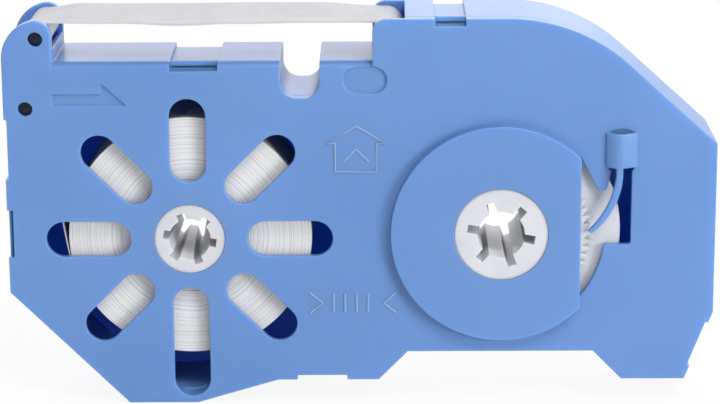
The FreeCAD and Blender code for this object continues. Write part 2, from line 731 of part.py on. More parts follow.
def make_front_cover():
    body = new_body("front_cover")
    case_block(body, "front_face", "cover_depth")
    slope_ledge(body)
    hollow_case(body, "front_plate", "cover_depth")
    open_ends(body, "ear_thick", "front_plate", "cover_depth + front_plate")
    seat = front_sketch(body, "low_pin_boss", "front_face", LOW_PIN[0], LOW_PIN[1])
    add_circle(seat, "pin_boss")
    grow(body, seat, "ear_thick")
    add_boss(body)
    cut_window(body)
    cut_hole(body, "supply_hub_hole", SUPPLY_AXIS, "supply_hole", "front_face", "cover_depth")
    cut_hole(body, "take_hub_hole", TAKE_AXIS, "take_hole", "front_face - boss_height", "cover_depth + boss_height")
    cut_view_slots(body)
    cut_hole(body, "front_high_hole", HIGH_PIN, "pin_hole", "front_face", "cover_depth")
    cut_hole(body, "front_low_hole", LOW_PIN, "pin_hole", "front_face", "cover_depth")
    snap_recess(body, "front_left_snap", LEFT_SNAP, "ledge_z", "snap_high", "front_face", "cover_depth")
    snap_recess(body, "front_right_snap", RIGHT_SNAP, "hump_z", "snap_high", "front_face", "cover_depth")
    heel_recess(body, "front_face", "cover_depth")
    cut_pad(body)
    add_bridge(body)
    add_pawl(body)


def make_rear_shell():
    body = new_body("rear_shell")
    case_block(body, "cover_depth", "case_depth - cover_depth")
    hollow_case(body, "cover_depth", "back_face - cover_depth")
    open_ends(body, "cover_depth", "cover_depth", "back_face")
    cut_hole(body, "supply_back_hole", SUPPLY_AXIS, "supply_hole", "back_face", "back_plate")
    cut_hole(body, "take_back_hole", TAKE_AXIS, "take_hole", "back_face", "back_plate")
    cut_hole(body, "back_high_hole", HIGH_PIN, "pin_hole", "back_face", "back_plate")
    cut_hole(body, "back_low_hole", LOW_PIN, "pin_hole", "back_face", "back_plate")
    recess_depth = "cover_depth + snap_bar"
    recess_length = "case_depth - cover_depth"
    snap_recess(body, "back_left_snap", LEFT_SNAP, "ledge_z", "snap_sink", recess_depth, recess_length)
    snap_recess(body, "back_right_snap", RIGHT_SNAP, "hump_z", "snap_sink", recess_depth, recess_length)
    post = front_sketch(body, "entry_post", "front_plate + sleeve_gap", ENTRY_PIN[0], ENTRY_PIN[1])
    add_circle(post, "pin_hole - pin_gap")
    grow(body, post, "back_face - front_plate - sleeve_gap")


def make_tube(label, place, inner, outer, depth, length):
    """A plain tube about an axis, such as a sleeve or a roll of tape."""
    body = new_body(label, place[0], place[1])
    sketch = front_sketch(body, label + "_ring", depth)
    add_circle(sketch, outer)
    add_circle(sketch, inner)
    grow(body, sketch, length)


def cut_spline(body, bore, rear_bore, notch):
    """The splined bore that a drive spindle fits: a hole, narrower at the rear, with six notches."""
    front = "front_face - boss_height"
    whole = "case_depth + boss_height"
    near = front_sketch(body, body.Name + "_bore_front", front)
    add_circle(near, bore)
    far = front_sketch(body, body.Name + "_bore_rear", "case_depth")
    add_circle(far, rear_bore)
    hole = body.newObject("PartDesign::SubtractiveLoft", body.Name + "_bore")
    hole.Profile = near
    hole.Sections = [far]
    doc.recompute()
    half = value("spline_half")
    sketch = front_sketch(body, body.Name + "_notch", front)
    turned = FreeCAD.Matrix()
    turned.rotateZ(-math.radians(SIZES["spline_turn"]))
    places = [
        FreeCAD.Vector(0, -half, 0), FreeCAD.Vector(value(notch), -half, 0),
        FreeCAD.Vector(value(notch), half, 0), FreeCAD.Vector(0, half, 0),
    ]
    add_path(sketch, closed_lines([turned.multVec(place) for place in places]))
    repeat(body, sink(body, sketch, whole), sketch, SPLINES)


def grow_disc(body, name, radius, depth, length):
    sketch = front_sketch(body, name, depth)
    add_circle(sketch, radius)
    grow(body, sketch, length)


def make_supply_core():
    body = new_body("supply_core", SUPPLY_AXIS[0], SUPPLY_AXIS[1])
    grow_disc(
        body, "supply_journal", "supply_hole - journal_gap", "journal_recess",
        "case_depth - journal_recess - journal_recess")
    grow_disc(body, "supply_barrel", "supply_core_radius", "tape_front", "tape_width")
    cut_spline(body, "supply_bore", "supply_bore_rear", "supply_notch")


def make_take_up_reel():
    body = new_body("take_up_reel", TAKE_AXIS[0], TAKE_AXIS[1])
    front = "journal_recess - boss_height"
    grow_disc(
        body, "take_journal", "take_hole - journal_gap", front,
        "case_depth + boss_height - journal_recess - journal_recess")
    flange_front = "front_plate + plate_gap"
    grow_disc(body, "take_barrel", "take_core_radius", flange_front, "tape_back - front_plate - plate_gap")
    grow_disc(body, "take_flange", "flange_radius", flange_front, "flange_thick")
    ring_front = "boss_skin - boss_height + ring_gap"
    tip = value("ratchet_tip")
    root = value("ratchet_root")
    step = 2 * math.pi / TEETH
    places = []
    for tooth in range(TEETH):
        angle = tooth * step
        places.append(FreeCAD.Vector(math.cos(angle), math.sin(angle), 0) * tip)
        behind = angle + step * TOOTH_LEAN
        places.append(FreeCAD.Vector(math.cos(behind), math.sin(behind), 0) * root)
    sketch = front_sketch(body, "ratchet_ring", ring_front)
    add_path(sketch, closed_lines(places))
    add_circle(sketch, "ratchet_inner")
    grow(body, sketch, "front_plate + plate_gap - boss_skin + boss_height - ring_gap")
    cut_spline(body, "take_bore", "take_bore", "take_notch")


def make_pin(label, place):
    """A steel guide pin, its ends sunk in the ear holes."""
    pin = doc.addObject("Part::Cylinder", label)
    pin.Label = label
    bind(pin, "Radius", "pin_hole - pin_gap")
    bind(pin, "Height", "case_depth - pin_recess - pin_recess + back_plate - front_plate")
    pin.Placement.Rotation = FreeCAD.Rotation(FreeCAD.Vector(1, 0, 0), -90)
    bind(pin, "Placement.Base.x", place[0])
    bind(pin, "Placement.Base.y", "front_y + pin_recess")
    bind(pin, "Placement.Base.z", place[1])


def unit_left(direction):
    return FreeCAD.Vector(-direction.y, direction.x, 0)


def tangent_ends(first, second):
    """Where a line that touches two circles meets them; a radius is positive on its left side."""
    (centre1, radius1), (centre2, radius2) = first, second
    between = centre2 - centre1
    turn = math.asin((radius1 - radius2) / between.Length)
    heading = math.atan2(between.y, between.x) - turn
    left = unit_left(FreeCAD.Vector(math.cos(heading), math.sin(heading), 0))
    return centre1 + left * radius1, centre2 + left * radius2


def film_side(circles, extra):
    """One side of the tape: straight runs and the arcs round the guides."""
    wider = [(centre, radius + extra) for centre, radius in circles]
    runs = [tangent_ends(wider[i], wider[i + 1]) for i in range(len(wider) - 1)]
    edges = []
    for i, run in enumerate(runs):
        edges.append(Part.LineSegment(run[0], run[1]).toShape())
        if i + 1 < len(runs):
            centre, radius = wider[i + 1]
            start = run[1] - centre
            end = runs[i + 1][0] - centre
            middle = (start + end).normalize() * abs(radius)
            edges.append(Part.Arc(run[1], centre + middle, runs[i + 1][0]).toShape())
    return edges


def make_tape_span():
    """The run of tape from the supply roll past the low pin, over two guides, to the take-up reel."""
    guide = value("sleeve_radius + film_gap")
    thick = value("tape_thick")
    circles = [
        (SUPPLY_AXIS, value("roll_radius + roll_gap")),
        (HIGH_PIN, guide),
        (ENTRY_PIN, guide),
        (TAKE_AXIS, value("wrap_radius + roll_gap")),
    ]
    circles = [(FreeCAD.Vector(value(x), value(z), 0), radius) for (x, z), radius in circles]
    near = film_side(circles, 0)
    far = film_side(circles, thick)
    caps = [
        Part.LineSegment(near[0].Vertexes[0].Point, far[0].Vertexes[0].Point).toShape(),
        Part.LineSegment(near[-1].Vertexes[-1].Point, far[-1].Vertexes[-1].Point).toShape(),
    ]
    wire = Part.Wire(Part.sortEdges(near + far + caps)[0])
    face = Part.Face(wire)
    face.rotate(FreeCAD.Vector(), FreeCAD.Vector(1, 0, 0), 90)
    film = face.extrude(FreeCAD.Vector(0, value("tape_width"), 0))
    span = doc.addObject("Part::Feature", "tape_span")
    span.Label = "tape_span"
    span.Shape = film
    span.Placement.Base = FreeCAD.Vector(0, value("front_y + tape_front"), 0)


def make_sleeve(label, place):
    make_tube(label, place, "pin_hole + sleeve_gap", "sleeve_radius", "tape_front", "tape_width")


make_front_cover()
make_rear_shell()
make_supply_core()
make_tube(
    "supply_tape_roll", SUPPLY_AXIS, "supply_core_radius + core_gap", "roll_radius", "tape_front", "tape_width")
make_take_up_reel()
make_tube("take_up_wraps", TAKE_AXIS, "take_core_radius + core_gap", "wrap_radius", "tape_front", "tape_width")
make_tape_span()
make_pin("high_guide_pin", HIGH_PIN)
make_pin("low_guide_pin", LOW_PIN)
make_sleeve("high_guide_sleeve", HIGH_PIN)
make_sleeve("entry_guide_sleeve", ENTRY_PIN)
doc.recompute()

NODES = [
    "front_cover", "rear_shell", "supply_core", "supply_tape_roll", "take_up_reel", "take_up_wraps",
    "tape_span", "high_guide_pin", "low_guide_pin", "high_guide_sleeve", "entry_guide_sleeve",
]
for item in doc.Objects:
    if "Invalid" in item.State or "Error" in item.State:
        raise RuntimeError("%s is %s" % (item.Label, item.State))
os.makedirs("parts", exist_ok=True)
for node in NODES:
    shape = doc.getObject(node).Shape
    if shape.isNull() or not shape.isValid() or len(shape.Solids) != 1:
        raise RuntimeError("%s has no single valid solid" % node)
    shape.exportStep("parts/%s.step" % node)
    box = shape.optimalBoundingBox(False)
    print("%-20s %8.1f mm3  x %.2f %.2f  y %.2f %.2f  z %.2f %.2f" % (
        node, shape.Volume, box.XMin, box.XMax, box.YMin, box.YMax, box.ZMin, box.ZMax))
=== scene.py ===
import math

import bmesh
import bpy
from mathutils import Matrix, Vector


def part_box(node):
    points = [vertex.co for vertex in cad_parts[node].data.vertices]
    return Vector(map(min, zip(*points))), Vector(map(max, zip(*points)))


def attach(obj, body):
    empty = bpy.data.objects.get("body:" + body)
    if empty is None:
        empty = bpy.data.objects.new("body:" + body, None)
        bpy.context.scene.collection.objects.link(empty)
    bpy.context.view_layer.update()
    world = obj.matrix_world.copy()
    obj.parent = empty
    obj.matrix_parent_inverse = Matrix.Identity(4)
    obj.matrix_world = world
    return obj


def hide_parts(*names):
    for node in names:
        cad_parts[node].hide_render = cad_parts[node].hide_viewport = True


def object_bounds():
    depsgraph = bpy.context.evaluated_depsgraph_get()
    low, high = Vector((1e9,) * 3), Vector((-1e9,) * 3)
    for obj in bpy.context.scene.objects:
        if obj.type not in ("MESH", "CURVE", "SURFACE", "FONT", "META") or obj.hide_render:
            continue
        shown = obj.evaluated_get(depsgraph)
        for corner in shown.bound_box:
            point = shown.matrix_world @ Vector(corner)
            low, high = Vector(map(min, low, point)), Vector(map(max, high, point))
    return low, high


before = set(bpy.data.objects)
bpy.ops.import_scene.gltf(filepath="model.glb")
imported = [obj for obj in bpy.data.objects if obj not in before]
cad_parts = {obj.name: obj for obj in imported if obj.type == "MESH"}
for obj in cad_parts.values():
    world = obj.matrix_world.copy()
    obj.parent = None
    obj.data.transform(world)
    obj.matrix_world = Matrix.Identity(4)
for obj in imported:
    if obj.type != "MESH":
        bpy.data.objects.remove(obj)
cad_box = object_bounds()
scene = bpy.context.scene

MM = 0.001

# Places on the cassette, in metres in the row frame
COVER_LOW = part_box("front_cover")[0]
ROLL_LOW, ROLL_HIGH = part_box("supply_tape_roll")
SUPPLY_AXIS = ((ROLL_LOW[0] + ROLL_HIGH[0]) / 2, (ROLL_LOW[2] + ROLL_HIGH[2]) / 2)
REEL_LOW, REEL_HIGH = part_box("take_up_reel")
TAKE_AXIS = ((REEL_LOW[0] + REEL_HIGH[0]) / 2, (REEL_LOW[2] + REEL_HIGH[2]) / 2)
BOSS_STAND = 1.5 * MM
FACE_Y = COVER_LOW[1] + BOSS_STAND
EAR_RIGHT = -41.6 * MM
EAR_LOW = 40.0 * MM

# How near the copies keep to the CAD faces
MERGE_REACH = 0.0005 * MM
FLAT_ANGLE = math.radians(1.0)

# Rounded edges: which slopes are rounded, which stay crisp, and how far
ROUND_ANGLE = math.radians(50)
CRISP_ANGLE = math.radians(28)
BEVEL_SEGMENTS = 3
BASE_WEIGHT = 0.4
ARROW_WEIGHT = 0.3
PIN_WEIGHT = 0.2
EAR_WEIGHT = 0.8
ARROW_MARGIN = 0.5
PIN_REACH = 1.3
COVER_EDGE = 0.13 * MM
SHELL_EDGE = 0.15 * MM
REEL_EDGE = 0.06 * MM
SLEEVE_EDGE = 0.1 * MM
PIN_EDGE = 0.1 * MM
ROLL_EDGE = 0.05 * MM
FILM_EDGE = 0.02 * MM
LATCH_EDGE = 0.05 * MM
THROAT_EDGE = 0.03 * MM

# Recesses, ridges and pin points
RECESS_DEPTH = 0.3 * MM
RECESS_SLOPE = 0.14
RIDGE_HALF = 0.2 * MM
RIDGE_STAND = 0.2
PIN_RIM = 0.2 * MM
PIN_STAND = 0.35 * MM
PIN_POINT = 0.45 * MM
PIN_END = 0.3 * MM

# The free run of the tape
RUN_LEFT = -43.6 * MM
RUN_RIGHT = 3.4 * MM
RUN_STEP = 1.2 * MM
RUN_DEEP = 0.4 * MM

# Places in millimetres, as x and z where there are two
LIP_STEPS = 120
LIP_PROFILE = [(0.0, 0.04), (0.04, 0.0), (0.16, 0.0), (0.2, 0.04), (0.2, 0.5), (0.0, 0.5)]
HUBS = [
    ("supply_lip", "supply_reel", SUPPLY_AXIS, 4.85 * MM, FACE_Y + 0.1 * MM),
    ("take_up_lip", "take_up", TAKE_AXIS, 6.42 * MM, REEL_LOW[1]),
]
SNAP_POCKETS = [
    ((-25.85, -4.9, 47.5), (-19.6, -2.6, 47.78)),
    ((10.3, -4.9, 53.5), (14.2, -2.6, 53.78)),
]
PINS = [(-44.07, 51.93), (-45.76, 42.26)]
ARROW = [(-42.0, 42.8), (-42.0, 44.2), (-35.3, 44.2), (-35.3, 45.6), (-32.2, 42.8)]
LATCH_FOOT, LATCH_TOP = 21.15, 28.0
THROAT_FOOT, THROAT_TOP = 37.8, 39.25

# Light
WORLD_FILL = 0.40
LAMP_TARGET = (0.0, 0.0, 0.03)
LAMPS = [
    ("key", (0.22, -0.40, 0.65), 0.3, 3.2),
    ("back_top", (0.05, 0.55, 0.45), 0.9, 3.4),
    ("front_fill", (0.50, -0.45, 0.12), 0.25, 2.4),
]
FLOOR_HALF = 2.0
FLOOR_DROP = 0.02 * MM
FLOOR_GLOW = 0.9

# Camera, as the photograph was taken
CAMERA_PLACE = (3.2 * MM, -358.1 * MM, 122.25 * MM)
CAMERA_TILT = 0.2594
CAMERA_YAW = 0.0095
CAMERA_ROLL = -0.0065
CAMERA_LENS = 132.17


def add_camera():
    """The camera, and the plain view of its colours."""
    data = bpy.data.cameras.new("camera")
    data.lens = CAMERA_LENS
    data.sensor_width = 36
    data.clip_start = 0.01
    camera = bpy.data.objects.new("camera", data)
    scene.collection.objects.link(camera)
    turn = Matrix.Rotation(CAMERA_YAW, 4, "Z") @ Matrix.Rotation(math.pi / 2 - CAMERA_TILT, 4, "X")
    roll = Matrix.Rotation(CAMERA_ROLL, 4, "Z")
    camera.matrix_world = Matrix.Translation(CAMERA_PLACE) @ turn @ roll
    scene.camera = camera
    scene.view_settings.view_transform = "Standard"


class Shade:
    """A node material in the making: nodes and links by short calls."""

    def __init__(self, name):
        self.material = bpy.data.materials.new(name)
        self.material.use_nodes = True
        self.tree = self.material.node_tree
        self.shader = self.tree.nodes["Principled BSDF"]
        self.output = self.tree.nodes["Material Output"]

    def node(self, kind, **settings):
        """A new node, with its settings or, where it has none so named, its inputs."""
        made = self.tree.nodes.new(kind)
        for name, setting in settings.items():
            if hasattr(made, name):
                setattr(made, name, setting)
            else:
                made.inputs[name.replace("_", " ")].default_value = setting
        return made

    def link(self, source, target):
        self.tree.links.new(source, target)

    def place(self):
        """The surface point in the row frame, in millimetres."""
        coordinates = self.node("ShaderNodeTexCoord")
        scaled = self.node("ShaderNodeVectorMath", operation="SCALE")
        scaled.inputs["Scale"].default_value = 1 / MM
        self.link(coordinates.outputs["Object"], scaled.inputs[0])
        return scaled.outputs[0]

    def noise(self, scale, detail, place=None):
        """Soft noise, at so many waves a millimetre."""
        made = self.node("ShaderNodeTexNoise", Scale=scale, Detail=detail)
        self.link(place or self.place(), made.inputs["Vector"])
        return made.outputs["Fac"]

    def spread(self, value, low, high):
        """Stretch the middle of a noise to a range."""
        made = self.node("ShaderNodeMapRange")
        made.inputs["From Min"].default_value = 0.3
        made.inputs["From Max"].default_value = 0.7
        made.inputs["To Min"].default_value = low
        made.inputs["To Max"].default_value = high
        self.link(value, made.inputs["Value"])
        return made.outputs["Result"]

    def mix(self, factor, first, second):
        """A colour between two, by a factor."""
        made = self.node("ShaderNodeMix", data_type="RGBA")
        colours = [socket for socket in made.inputs if socket.type == "RGBA"]
        colours[0].default_value = (*first, 1)
        colours[1].default_value = (*second, 1)
        self.link(factor, made.inputs["Factor"])
        return [socket for socket in made.outputs if socket.type == "RGBA"][0]

    def bump(self, height, distance, strength):
        """Fine relief, joined to the shader."""
        made = self.node("ShaderNodeBump", Strength=strength, Distance=distance)
        self.link(height, made.inputs["Height"])
        self.link(made.outputs["Normal"], self.shader.inputs["Normal"])


def case_plastic(name, first, second):
    """Satin blue moulded plastic with faint cloudiness and a fine spark-eroded grain."""
    shade = Shade(name)
    cloud = shade.spread(shade.noise(0.045, 2.0), 0.0, 1.0)
    colour = shade.mix(cloud, first, second)
    shade.link(colour, shade.shader.inputs["Base Color"])
    rough = shade.spread(shade.noise(0.06, 1.0), 0.32, 0.35)
    shade.link(rough, shade.shader.inputs["Roughness"])
    shade.shader.inputs["Subsurface Weight"].default_value = 0.45
    shade.shader.inputs["Subsurface Radius"].default_value = (0.8, 2.5, 4.0)
    shade.shader.inputs["Subsurface Scale"].default_value = 1.0 * MM
    shade.bump(shade.noise(3.0, 2.0), 0.003 * MM, 0.2)
    return shade.material


def white_plastic(name, first, second):
    """Natural white moulded plastic, slightly see-through at its edges."""
    shade = Shade(name)
    cloud = shade.spread(shade.noise(0.2, 3.0), 0.0, 1.0)
    colour = shade.mix(cloud, first, second)
    shade.link(colour, shade.shader.inputs["Base Color"])
    rough = shade.spread(shade.noise(0.8, 3.0), 0.38, 0.46)
    shade.link(rough, shade.shader.inputs["Roughness"])
    shade.shader.inputs["Subsurface Weight"].default_value = 0.35
    shade.shader.inputs["Subsurface Radius"].default_value = (1.0, 1.0, 1.0)
    shade.shader.inputs["Subsurface Scale"].default_value = 1.0 * MM
    shade.bump(shade.noise(3.0, 2.0), 0.004 * MM, 0.3)
    return shade.material


def wound_tape(name, axis):
    """The layered edge of a wound roll: fine rings of uneven tone round its axis."""
    shade = Shade(name)
    place = shade.place()
    centred = shade.node("ShaderNodeVectorMath", operation="SUBTRACT")
    shade.link(place, centred.inputs[0])
    centred.inputs[1].default_value = (axis[0] / MM, 0, axis[1] / MM)
    flat = shade.node("ShaderNodeVectorMath", operation="MULTIPLY")
    shade.link(centred.outputs[0], flat.inputs[0])
    flat.inputs[1].default_value = (1, 0, 1)
    length = shade.node("ShaderNodeVectorMath", operation="LENGTH")
    shade.link(flat.outputs[0], length.inputs[0])
    drift = shade.node("ShaderNodeMath", operation="MULTIPLY_ADD")
    shade.link(shade.noise(0.12, 1.0, place=place), drift.inputs[0])
    drift.inputs[1].default_value = 0.5
    shade.link(length.outputs["Value"], drift.inputs[2])
    ring = shade.node("ShaderNodeTexNoise", Scale=5.0, Detail=5.0, Roughness=0.75)
    ring.noise_dimensions = "1D"
    shade.link(drift.outputs[0], ring.inputs["W"])
    layers = shade.spread(ring.outputs["Fac"], -0.7, 2.4)
    colour = shade.mix(layers, (0.50, 0.495, 0.48), (0.74, 0.74, 0.73))
    shade.link(colour, shade.shader.inputs["Base Color"])
    shade.shader.inputs["Roughness"].default_value = 0.55
    shade.bump(ring.outputs["Fac"], 0.06 * MM, 0.6)
    return shade.material


def film_tape():
    """Smooth white label tape with a faint long ripple."""
    shade = Shade("film_tape")
    cloud = shade.spread(shade.noise(0.15, 3.0), 0.0, 1.0)
    colour = shade.mix(cloud, (0.47, 0.475, 0.50), (0.51, 0.515, 0.54))
    shade.link(colour, shade.shader.inputs["Base Color"])
    rough = shade.spread(shade.noise(0.5, 2.0), 0.50, 0.60)
    shade.link(rough, shade.shader.inputs["Roughness"])
    shade.shader.inputs["Specular IOR Level"].default_value = 0.25
    shade.bump(shade.noise(0.25, 2.0), 0.05 * MM, 0.5)
    return shade.material


def pin_steel(name, first, second):
    """Steel with fine turning marks."""
    shade = Shade(name)
    shade.shader.inputs["Metallic"].default_value = 1.0
    cloud = shade.spread(shade.noise(2.0, 3.0), 0.0, 1.0)
    colour = shade.mix(cloud, first, second)
    shade.link(colour, shade.shader.inputs["Base Color"])
    rough = shade.spread(shade.noise(4.0, 4.0), 0.22, 0.34)
    shade.link(rough, shade.shader.inputs["Roughness"])
    shade.bump(shade.noise(8.0, 2.0), 0.003 * MM, 0.4)
    return shade.material


def link_mesh(name, mesh, materials, body):
    """A piece of the scene from a mesh, on its body and with its material slot."""
    piece = bpy.data.objects.new(name, mesh)
    scene.collection.objects.link(piece)
    mesh.materials.clear()
    for material in materials:
        mesh.materials.append(material)
    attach(piece, body)
    return piece


def clean_copy(node):
    """A copy of a CAD node's mesh with its triangles joined into flat faces."""
    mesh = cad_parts[node].data.copy()
    work = bmesh.new()
    work.from_mesh(mesh)
    bmesh.ops.remove_doubles(work, verts=work.verts, dist=MERGE_REACH)
    bmesh.ops.dissolve_limit(work, angle_limit=FLAT_ANGLE, verts=work.verts, edges=work.edges)
    work.to_mesh(mesh)
    work.free()
    return mesh


def edge_weights(mesh, soft):
    """Mark which edges are rounded and how far; small slopes stay crisp."""
    work = bmesh.new()
    work.from_mesh(mesh)
    weight = work.edges.layers.float.new("bevel_weight_edge")
    for edge in work.edges:
        angle = edge.calc_face_angle(0.0)
        if angle > ROUND_ANGLE:
            middle = (edge.verts[0].co + edge.verts[1].co) / 2
            edge[weight] = soft(middle) if soft else BASE_WEIGHT
        elif angle > CRISP_ANGLE:
            edge.smooth = False
    work.to_mesh(mesh)
    work.free()


def smooth_bevel(piece, width, soft=None):
    """Rounded edges, in the second material if there is one, with the flat faces kept flat; that
    second material is a lighter copy which paints a highlight on the rounded edges.
    """
    for face in piece.data.polygons:
        face.use_smooth = True
    edge_weights(piece.data, soft)
    bevel = piece.modifiers.new("rounded_edges", "BEVEL")
    bevel.width = width / BASE_WEIGHT
    bevel.segments = BEVEL_SEGMENTS
    bevel.limit_method = "WEIGHT"
    bevel.use_clamp_overlap = False
    bevel.loop_slide = False
    bevel.harden_normals = True
    bevel.miter_outer = "MITER_ARC"
    if len(piece.data.materials) > 1:
        bevel.material = 1
    weighted = piece.modifiers.new("flat_faces", "WEIGHTED_NORMAL")
    weighted.keep_sharp = True
    weighted.weight = 100


def cut_recess(piece, corners, depth, slope):
    """Sink a flat shape with sloped walls into the front face of the cover."""
    work = bmesh.new()
    rings = []
    for y, grow in ((FACE_Y - depth, 1 + 2 * slope), (FACE_Y, 1 + slope), (FACE_Y + depth, 1.0)):
        ring = []
        for number, (x, z) in enumerate(corners):
            before = Vector(corners[number - 1])
            here = Vector((x, z))
            after = Vector(corners[(number + 1) % len(corners)])
            first = (here - before).normalized()
            second = (after - here).normalized()
            out = Vector((-first.y - second.y, first.x + second.x)) / (1 + first.dot(second))
            moved = here + out * (grow - 1) * MM
            ring.append(work.verts.new((moved.x, y, moved.y)))
        rings.append(ring)
    work.faces.new(rings[0])
    work.faces.new(list(reversed(rings[-1])))
    for low, high in zip(rings, rings[1:]):
        for i in range(len(low)):
            j = (i + 1) % len(low)
            work.faces.new((low[i], high[i], high[j], low[j]))
    bmesh.ops.recalc_face_normals(work, faces=work.faces)
    cut_with(piece, work)


def cut_pocket(piece, low, high):
    """Cut a square pocket, given by its lowest and highest corners in millimetres."""
    work = bmesh.new()
    for vertex in bmesh.ops.create_cube(work, size=1)["verts"]:
        for axis in range(3):
            middle = (low[axis] + high[axis]) / 2
            vertex.co[axis] = (middle + vertex.co[axis] * (high[axis] - low[axis])) * MM
    cut_with(piece, work)


def cut_with(piece, work):
    """Take the shape of a work mesh away from a piece."""
    mesh = bpy.data.meshes.new("cutter")
    work.to_mesh(mesh)
    work.free()
    cutter = bpy.data.objects.new("cutter", mesh)
    scene.collection.objects.link(cutter)
    cut = piece.modifiers.new("recess", "BOOLEAN")
    cut.operation = "DIFFERENCE"
    cut.solver = "EXACT"
    cut.object = cutter
    settle(piece)
    bpy.data.objects.remove(cutter)


def settle(piece):
    """Apply the modifiers of a piece."""
    bpy.context.view_layer.update()
    shown = piece.evaluated_get(bpy.context.evaluated_depsgraph_get())
    mesh = bpy.data.meshes.new_from_object(shown)
    piece.modifiers.clear()
    piece.data = mesh


def dress(node, body, material, width, soft=None, recesses=(), pockets=()):
    """Stand a copy with rounded edges in for a CAD node."""
    piece = link_mesh(node + "_dressed", clean_copy(node), [material], body)
    for corners in recesses:
        cut_recess(piece, corners, RECESS_DEPTH, RECESS_SLOPE)
    for low, high in pockets:
        cut_pocket(piece, low, high)
    smooth_bevel(piece, width, soft=soft)
    settle(piece)
    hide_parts(node)
    return piece


def point_end(pin):
    """Bring the front end of a pin a little forward and point it with a blunt cone."""
    work = bmesh.new()
    work.from_mesh(pin.data)
    front = min(work.faces, key=lambda face: face.calc_center_median().y)
    end = front.calc_center_median().y
    for vertex in work.verts:
        if vertex.co.y < end + PIN_END:
            vertex.co.y -= PIN_STAND
    bmesh.ops.inset_individual(work, faces=[front], thickness=PIN_RIM)
    facets = bmesh.ops.poke(work, faces=[front])
    facets["verts"][0].co.y -= PIN_POINT
    work.to_mesh(pin.data)
    work.free()


def flex_tape(tape):
    """The film between its guides lies in slack waves, its far edge a little higher."""
    low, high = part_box("tape_span")
    work = bmesh.new()
    work.from_mesh(tape.data)
    for axis, first, last in ((0, RUN_LEFT, RUN_RIGHT), (1, low[1], high[1])):
        count = round((last - first) / RUN_STEP)
        for number in range(count + 1):
            place = [0, 0, 0]
            place[axis] = first + (last - first) * number / count
            side = [0, 0, 0]
            side[axis] = 1
            parts = work.verts[:] + work.edges[:] + work.faces[:]
            bmesh.ops.bisect_plane(work, geom=parts, plane_co=place, plane_no=side, dist=1e-8)
    for vertex in work.verts:
        x, y, z = vertex.co
        if z < high[2] - RUN_DEEP or not RUN_LEFT < x < RUN_RIGHT:
            continue
        along = (x - RUN_LEFT) / (RUN_RIGHT - RUN_LEFT)
        hold = math.sin(math.pi * min(1.0, 10 * along, 5 * (1 - along)) / 2) ** 2
        far = (y - low[1]) / (high[1] - low[1])
        lift = 0.52 * far * (1 + 0.10 * math.sin(11 * along + 1.0))
        wave = 0.06 * math.sin(15 * along + 2.5 * far) + 0.05 * math.sin(26 * along - 2 * far + 1)
        sag = 0.32 * (1 - far) * math.exp(-((x / MM + 22.5) / 6.0) ** 2)
        vertex.co.z += hold * (lift * 0.95 + wave * (1 - 0.7 * far) - sag) * MM
    work.to_mesh(tape.data)
    work.free()


def add_ridges(name, strokes):
    """Thin raised lines moulded on the front plate, in a lighter blue that paints their highlight.
    """
    data = bpy.data.curves.new(name, "CURVE")
    data.dimensions = "3D"
    data.bevel_depth = RIDGE_HALF
    data.bevel_resolution = 3
    data.use_fill_caps = True
    for points, closed in strokes:
        line = data.splines.new("POLY")
        line.points.add(len(points) - 1)
        for point, (x, z) in zip(line.points, points):
            point.co = (x * MM, FACE_Y + RIDGE_STAND * RIDGE_HALF, z * MM, 1)
        line.use_cyclic_u = closed
    ridges = bpy.data.objects.new(name, data)
    scene.collection.objects.link(ridges)
    # The lighter blue is a painted highlight on the lines.
    data.materials.append(PAINTED_HIGHLIGHT_BLUE)
    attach(ridges, "case")


def add_prism(name, outline, low, high, width):
    """A plain moulded block of the case: an outline in x and y between two heights, in mm."""
    work = bmesh.new()
    floor = [work.verts.new((x * MM, y * MM, low * MM)) for x, y in outline]
    roof = [work.verts.new((x * MM, y * MM, high * MM)) for x, y in outline]
    work.faces.new(floor)
    work.faces.new(roof)
    for number in range(len(outline)):
        after = (number + 1) % len(outline)
        work.faces.new((floor[number], floor[after], roof[after], roof[number]))
    bmesh.ops.recalc_face_normals(work, faces=work.faces)
    mesh = bpy.data.meshes.new(name)
    work.to_mesh(mesh)
    work.free()
    # The rounded edges take the second material, a painted highlight.
    piece = link_mesh(name, mesh, [BLUE, PAINTED_HIGHLIGHT_BLUE], "case")
    smooth_bevel(piece, width)
    settle(piece)


def add_lip(name, body, axis, radius, front):
    """The thin rounded lip round the outer edge of a hub."""
    work = bmesh.new()
    rings = []
    for number in range(LIP_STEPS):
        turn = 2 * math.pi * number / LIP_STEPS
        ring = []
        for inward, back in LIP_PROFILE:
            reach = radius - inward * MM
            x = axis[0] + reach * math.cos(turn)
            z = axis[1] + reach * math.sin(turn)
            ring.append(work.verts.new((x, front + back * MM, z)))
        rings.append(ring)
    for number, ring in enumerate(rings):
        after = rings[(number + 1) % LIP_STEPS]
        for low in range(len(LIP_PROFILE)):
            high = (low + 1) % len(LIP_PROFILE)
            work.faces.new((ring[low], ring[high], after[high], after[low]))
    bmesh.ops.recalc_face_normals(work, faces=work.faces)
    mesh = bpy.data.meshes.new(name)
    work.to_mesh(mesh)
    work.free()
    link_mesh(name, mesh, [WHITE], body)


def add_side_latch():
    """The thin wall and the floor of the latch pocket in the left side."""
    outline = [
        (-48.78, -5.0), (-48.5, -5.0), (-48.5, 1.0), (-47.95, 1.0), (-47.95, 8.2), (-48.78, 8.2),
    ]
    add_prism("side_latch", outline, LATCH_FOOT, LATCH_TOP, LATCH_EDGE)


def add_bridge_throat():
    """The web that closes the arch above the bowed bridge."""
    outline = [(34.0, -6.55), (37.35, -6.55), (37.35, -6.1), (34.0, -6.1)]
    add_prism("bridge_throat", outline, THROAT_FOOT, THROAT_TOP, THROAT_EDGE)


